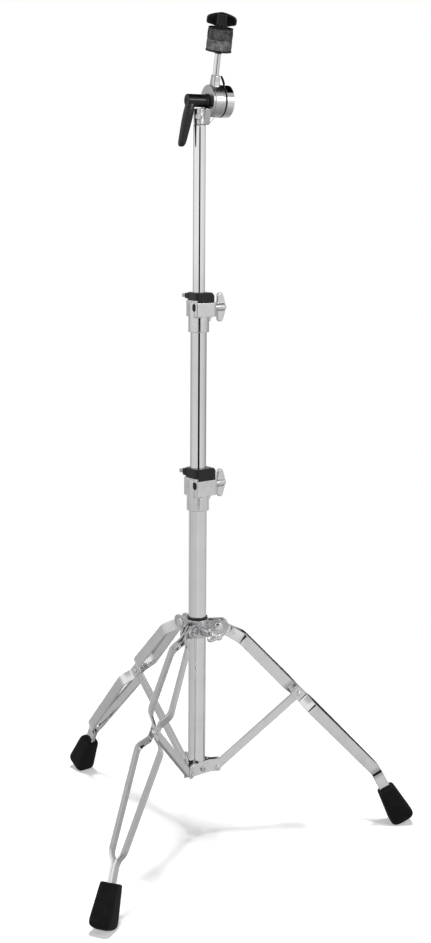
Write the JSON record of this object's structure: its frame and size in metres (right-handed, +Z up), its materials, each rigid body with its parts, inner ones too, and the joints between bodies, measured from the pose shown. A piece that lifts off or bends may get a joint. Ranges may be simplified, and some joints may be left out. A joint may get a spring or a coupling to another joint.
{
  "type": "straight cymbal stand",
  "caption": "Folding double-braced tripod with telescoping chromed tubes, memory locks and a ratchet tilter that holds a cymbal between felts.",
  "frame": {"origin": "middle of the footprint's box on the floor, under the feet", "axes": "+Z up along the tubes; +X from the tubes' axis along the first leg; the tubes' axis stands at x = -0.086 m"},
  "size_m": [0.5608, 0.6434, 1.3103],
  "materials": {
    "chrome_tube": "polished chrome plate on steel tube",
    "chrome_strip": "chrome plate on pressed sheet steel",
    "cast_chrome": "chrome plate on castings, slightly soft reflections",
    "steel": "zinc-plated steel",
    "black_nylon": "black moulded nylon, satin",
    "rubber": "matte black rubber",
    "grey_felt": "grey pressed felt"
  },
  "bodies": {
    "base": {"base_tube": "chrome_tube", "bracket_plate_1": "chrome_strip", "bracket_plate_2": "chrome_strip", "bracket_plate_3": "chrome_strip", "bracket_screw_1": "cast_chrome", "bracket_screw_2": "cast_chrome", "bracket_screw_3": "cast_chrome", "brace_rivet_1": "cast_chrome", "brace_rivet_2": "cast_chrome", "brace_rivet_3": "cast_chrome", "lower_clamp_casting": "cast_chrome", "lower_clamp_bushing": "black_nylon"},
    "first_brace": {"brace_1": "chrome_strip"},
    "second_brace": {"brace_2": "chrome_strip"},
    "third_brace": {"brace_3": "chrome_strip"},
    "first_leg": {"leg_strip_left_1": "chrome_strip", "leg_strip_right_1": "chrome_strip", "leg_mid_rivet_1": "cast_chrome", "foot_1": "rubber"},
    "second_leg": {"leg_strip_left_2": "chrome_strip", "leg_strip_right_2": "chrome_strip", "leg_mid_rivet_2": "cast_chrome", "foot_2": "rubber"},
    "third_leg": {"leg_strip_left_3": "chrome_strip", "leg_strip_right_3": "chrome_strip", "leg_mid_rivet_3": "cast_chrome", "foot_3": "rubber"},
    "sliding_collar": {"collar": "cast_chrome", "collar_bushing": "black_nylon", "leg_hinge_rivet_1": "cast_chrome", "leg_hinge_rivet_2": "cast_chrome", "leg_hinge_rivet_3": "cast_chrome"},
    "collar_wing": {"collar_wing_screw": "cast_chrome"},
    "lower_wing": {"lower_clamp_wing_screw": "cast_chrome"},
    "lower_lock": {"lower_memory_lock": "black_nylon", "lower_lock_bolt": "steel"},
    "middle": {"middle_tube": "chrome_tube", "upper_clamp_casting": "cast_chrome", "upper_clamp_bushing": "black_nylon"},
    "upper_wing": {"upper_clamp_wing_screw": "cast_chrome"},
    "upper_lock": {"upper_memory_lock": "black_nylon", "upper_lock_bolt": "steel"},
    "upper": {"upper_tube": "chrome_tube", "tube_plug": "steel"},
    "tilter": {"tilter_base": "cast_chrome", "tilter_key_screw": "steel", "tilt_washer": "black_nylon", "tilter_cap": "cast_chrome", "tilter_bolt": "steel"},
    "ratchet_lever": {"lever": "black_nylon", "lever_insert": "steel", "lever_spring": "steel", "lever_screw": "steel"},
    "holder": {"rod_holder": "cast_chrome", "cymbal_rod": "chrome_tube", "cymbal_sleeve": "black_nylon", "lower_felt": "grey_felt"},
    "cymbal_cap": {"upper_felt": "grey_felt", "top_washer": "black_nylon"},
    "nut": {"wing_nut": "black_nylon"}
  },
  "joints": [
    {"name": "fold", "type": "hinge", "parent": "base", "child": "first_brace", "pos_m": [-0.05296, 0, 0.1174], "axis": [0, -1, 0], "range_deg": [-12, 41.5]},
    {"name": "brace_2_hinge", "type": "hinge", "parent": "base", "child": "second_brace", "pos_m": [-0.10246, 0.02858, 0.1174], "axis": [0.866, 0.5, 0], "range_deg": [-12, 41.5]},
    {"name": "brace_3_hinge", "type": "hinge", "parent": "base", "child": "third_brace", "pos_m": [-0.10246, -0.02858, 0.1174], "axis": [-0.866, 0.5, 0], "range_deg": [-12, 41.5]},
    {"name": "leg_1_hinge", "type": "hinge", "parent": "first_brace", "child": "first_leg", "pos_m": [0.08201, 0, 0.2383], "axis": [0, -1, 0], "range_deg": [-83, 24]},
    {"name": "leg_2_hinge", "type": "hinge", "parent": "second_brace", "child": "second_leg", "pos_m": [-0.16994, 0.14547, 0.2383], "axis": [0.866, 0.5, 0], "range_deg": [-83, 24]},
    {"name": "leg_3_hinge", "type": "hinge", "parent": "third_brace", "child": "third_leg", "pos_m": [-0.16994, -0.14547, 0.2383], "axis": [-0.866, 0.5, 0], "range_deg": [-83, 24]},
    {"name": "collar_hinge", "type": "hinge", "parent": "first_leg", "child": "sliding_collar", "pos_m": [-0.05296, 0, 0.3592], "axis": [0, -1, 0], "range_deg": [-12, 41.5]},
    {"name": "collar_wing_turn", "type": "hinge", "parent": "sliding_collar", "child": "collar_wing", "pos_m": [-0.08596, 0, 0.3557], "axis": [0.5, -0.866, 0], "range_deg": [0, 720]},
    {"name": "lower_wing_turn", "type": "hinge", "parent": "base", "child": "lower_wing", "pos_m": [-0.08596, 0, 0.591], "axis": [0.866, 0.5, 0], "range_deg": [0, 720]},
    {"name": "lower_lock_slide", "type": "slide", "parent": "base", "child": "lower_lock", "axis": [0, 0, 1], "range_m": [0, 0.04]},
    {"name": "lower_height", "type": "slide", "parent": "base", "child": "middle", "axis": [0, 0, 1], "range_m": [-0.2, 0.195]},
    {"name": "upper_wing_turn", "type": "hinge", "parent": "middle", "child": "upper_wing", "pos_m": [-0.08596, 0, 0.87195], "axis": [0.9135, 0.4067, 0], "range_deg": [0, 720]},
    {"name": "upper_lock_slide", "type": "slide", "parent": "middle", "child": "upper_lock", "axis": [0, 0, 1], "range_m": [0, 0.04]},
    {"name": "upper_height", "type": "slide", "parent": "middle", "child": "upper", "axis": [0, 0, 1], "range_m": [-0.215, 0.26]},
    {"name": "tilter_swivel", "type": "hinge", "parent": "upper", "child": "tilter", "pos_m": [-0.08596, 0, 1.16], "axis": [0, 0, 1], "continuous": true},
    {"name": "lever_turn", "type": "hinge", "parent": "tilter", "child": "ratchet_lever", "pos_m": [-0.08596, 0, 1.183], "axis": [0.9483, 0.3173, 0], "range_deg": [-150, 150]},
    {"name": "rod_tilt", "type": "hinge", "parent": "tilter", "child": "holder", "pos_m": [-0.08596, 0, 1.183], "axis": [0.9483, 0.3173, 0], "range_deg": [-103.5, 76.5]},
    {"name": "cymbal_gap", "type": "slide", "parent": "holder", "child": "cymbal_cap", "axis": [0.0741, -0.2214, 0.9724], "range_m": [0, 0.0101]},
    {"name": "wing_nut_turn", "type": "hinge", "parent": "cymbal_cap", "child": "nut", "pos_m": [-0.0649, 0.00704, 1.183], "axis": [0.0741, -0.2214, 0.9724], "range_deg": [0, 2880]}
  ],
  "couplings": [
    {"joint": "brace_2_hinge", "follows": "fold", "ratio": 1},
    {"joint": "brace_3_hinge", "follows": "fold", "ratio": 1},
    {"joint": "leg_1_hinge", "follows": "fold", "ratio": -2},
    {"joint": "leg_2_hinge", "follows": "fold", "ratio": -2},
    {"joint": "leg_3_hinge", "follows": "fold", "ratio": -2},
    {"joint": "collar_hinge", "follows": "fold", "ratio": 1},
    {"joint": "cymbal_gap", "follows": "wing_nut_turn", "m_per_rad": 0.00019894}
  ]
}
